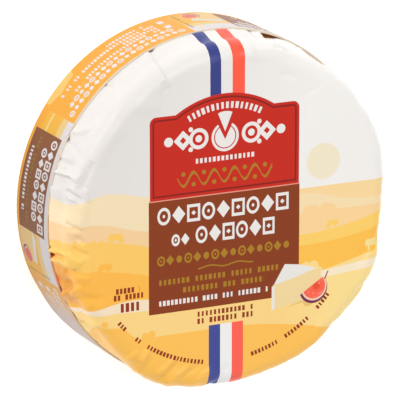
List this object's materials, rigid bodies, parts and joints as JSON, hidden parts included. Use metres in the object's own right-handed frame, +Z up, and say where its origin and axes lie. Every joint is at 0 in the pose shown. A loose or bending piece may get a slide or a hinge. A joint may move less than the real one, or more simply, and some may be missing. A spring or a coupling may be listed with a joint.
{
  "type": "wrapped camembert cheese",
  "caption": "Round soft cheese in a folded paper wrapper, held by a strip of printed card round its side.",
  "frame": {"origin": "middle of the bottom of the pack, on the surface that it lies on", "axes": "+Z up, out of the printed face; +Y towards the top of the print; +X to the right of the print"},
  "size_m": [0.104, 0.104, 0.0336],
  "materials": {
    "wrapper": "foil-backed paper with a soft gloss, printed in warm yellows, white, red and brown",
    "band": "thin satin card, printed outside, plain inside, with cream cut edges"
  },
  "bodies": {
    "root": {"wrapped_cheese": "wrapper", "band": "band"}
  },
  "joints": []
}
